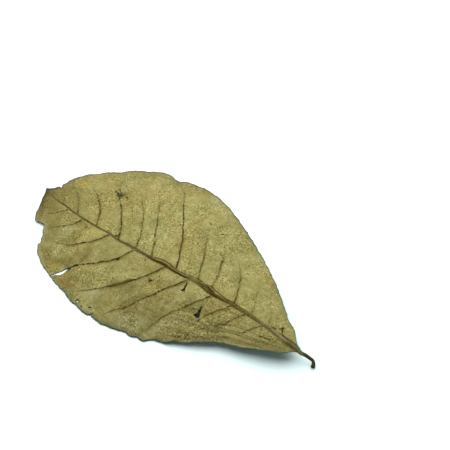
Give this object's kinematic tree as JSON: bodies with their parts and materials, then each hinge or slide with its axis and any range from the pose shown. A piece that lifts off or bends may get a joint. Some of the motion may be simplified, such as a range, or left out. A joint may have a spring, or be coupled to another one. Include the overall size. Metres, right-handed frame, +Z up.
{
  "type": "indian almond leaf",
  "caption": "Dried Indian almond leaf: broad, slightly arched blade with a grooved midrib, raised side veins, ragged torn edge and a short hooked stalk.",
  "frame": {"origin": "on the surface the leaf lies on, under the middle of its box", "axes": "+Z up from the surface, +Y along the midrib from the stalk to the tip, the veined face up"},
  "size_m": [0.1186, 0.2124, 0.0144],
  "materials": {
    "leaf": "matt, dry leaf"
  },
  "bodies": {
    "root": {"leaf": "leaf"}
  },
  "joints": []
}
